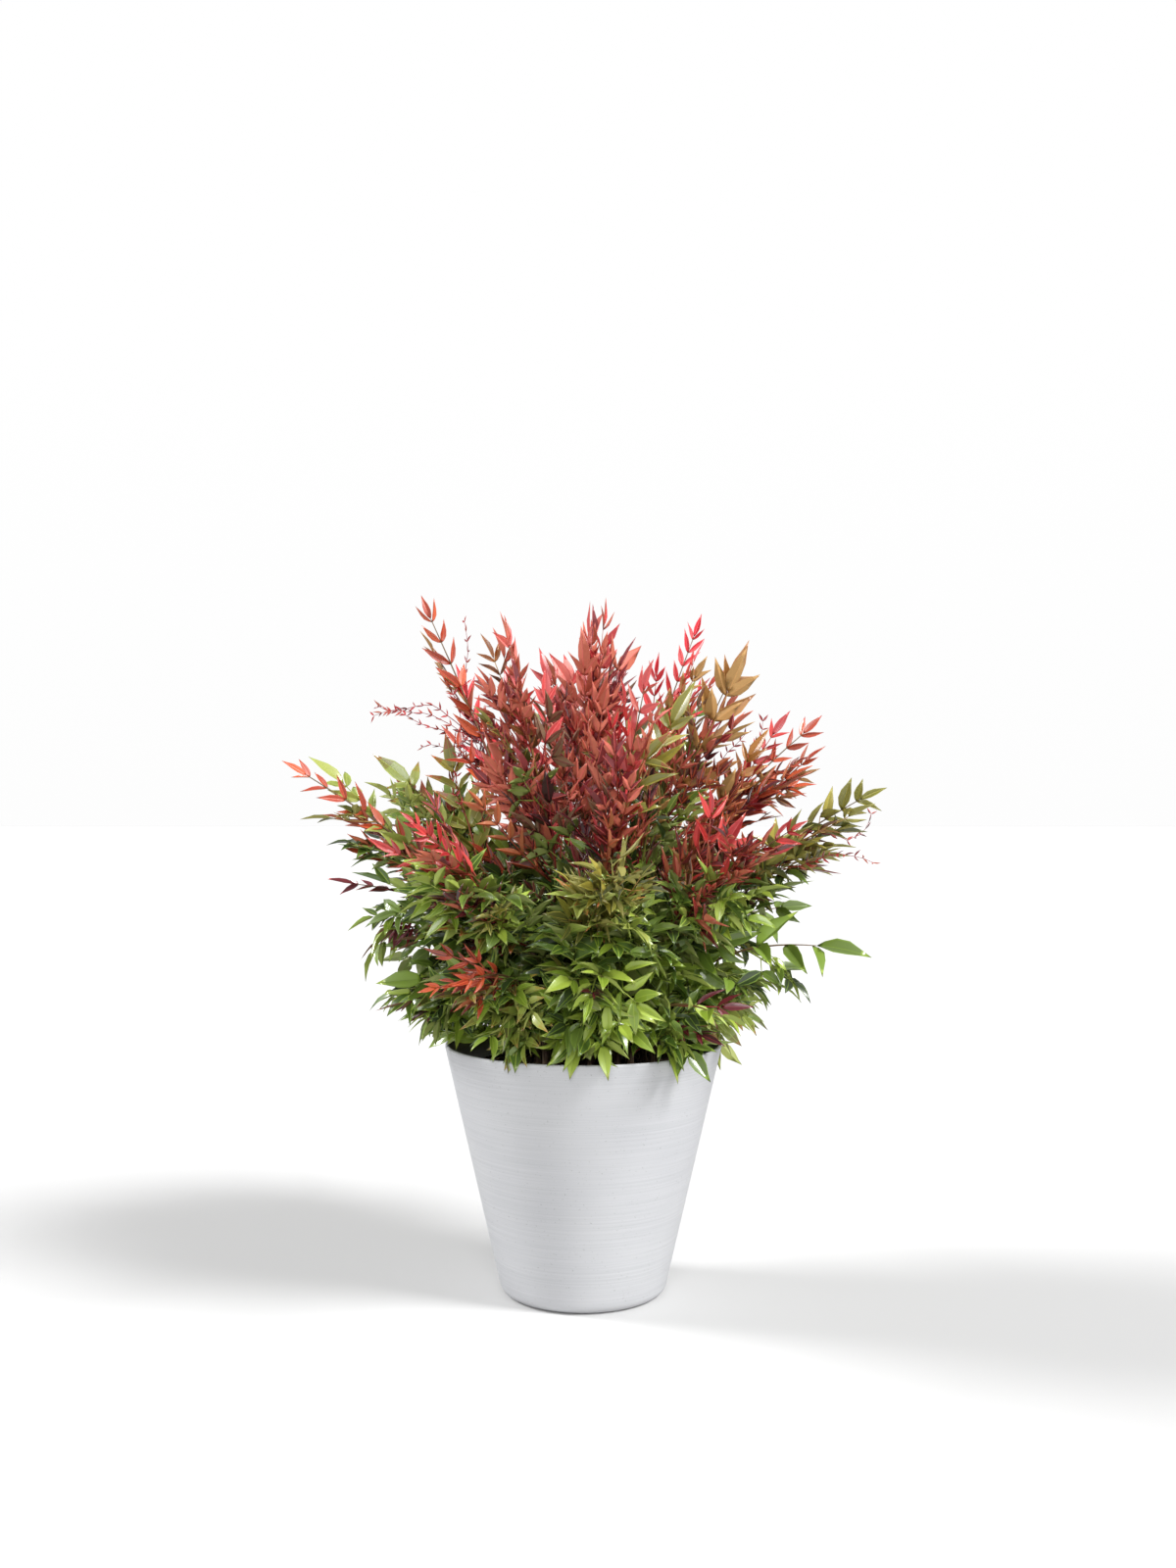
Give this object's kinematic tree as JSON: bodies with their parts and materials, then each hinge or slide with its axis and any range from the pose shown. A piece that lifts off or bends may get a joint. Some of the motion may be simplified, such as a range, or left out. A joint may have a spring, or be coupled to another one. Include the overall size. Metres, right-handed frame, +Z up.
{
  "type": "potted shrub",
  "caption": "Heavenly bamboo, an evergreen shrub with red tips and green pointed leaflets on upright canes, in a tapered pale grey planter",
  "frame": {"origin": "the middle of the planter's flat underside", "axes": "+Z is up, from the underside to the tips of the shoots; the crown is seen from -Y, with +X to the right"},
  "size_m": [0.6136, 0.5584, 0.7559],
  "materials": {
    "pot": "matte",
    "soil": "matte",
    "cane_bark": "matte",
    "leaf_top": "satin",
    "leaf_upper": "satin",
    "leaf_middle": "satin",
    "leaf_lower": "satin"
  },
  "bodies": {
    "root": {"pot": "pot", "soil": "soil", "cane_top": "cane_bark", "foliage_top": "leaf_top", "cane_upper_1": "cane_bark", "foliage_upper_1": "leaf_upper", "cane_upper_2": "cane_bark", "foliage_upper_2": "leaf_upper", "cane_upper_3": "cane_bark", "foliage_upper_3": "leaf_upper", "cane_upper_4": "cane_bark", "foliage_upper_4": "leaf_upper", "cane_upper_5": "cane_bark", "foliage_upper_5": "leaf_upper", "cane_upper_6": "cane_bark", "foliage_upper_6": "leaf_upper", "cane_middle_1": "cane_bark", "foliage_middle_1": "leaf_middle", "cane_middle_2": "cane_bark", "foliage_middle_2": "leaf_middle", "cane_middle_3": "cane_bark", "foliage_middle_3": "leaf_middle", "cane_middle_4": "cane_bark", "foliage_middle_4": "leaf_middle", "cane_middle_5": "cane_bark", "foliage_middle_5": "leaf_middle", "cane_middle_6": "cane_bark", "foliage_middle_6": "leaf_middle", "cane_middle_7": "cane_bark", "foliage_middle_7": "leaf_middle", "cane_middle_8": "cane_bark", "foliage_middle_8": "leaf_middle", "cane_middle_9": "cane_bark", "foliage_middle_9": "leaf_middle", "cane_middle_10": "cane_bark", "foliage_middle_10": "leaf_middle", "cane_lower_1": "cane_bark", "foliage_lower_1": "leaf_lower", "cane_lower_2": "cane_bark", "foliage_lower_2": "leaf_lower", "cane_lower_3": "cane_bark", "foliage_lower_3": "leaf_lower", "cane_lower_4": "cane_bark", "foliage_lower_4": "leaf_lower", "cane_lower_5": "cane_bark", "foliage_lower_5": "leaf_lower", "cane_lower_6": "cane_bark", "foliage_lower_6": "leaf_lower", "cane_lower_7": "cane_bark", "foliage_lower_7": "leaf_lower", "cane_lower_8": "cane_bark", "foliage_lower_8": "leaf_lower", "cane_lower_9": "cane_bark", "foliage_lower_9": "leaf_lower", "cane_lower_10": "cane_bark", "foliage_lower_10": "leaf_lower", "cane_lower_11": "cane_bark", "foliage_lower_11": "leaf_lower"}
  },
  "joints": []
}
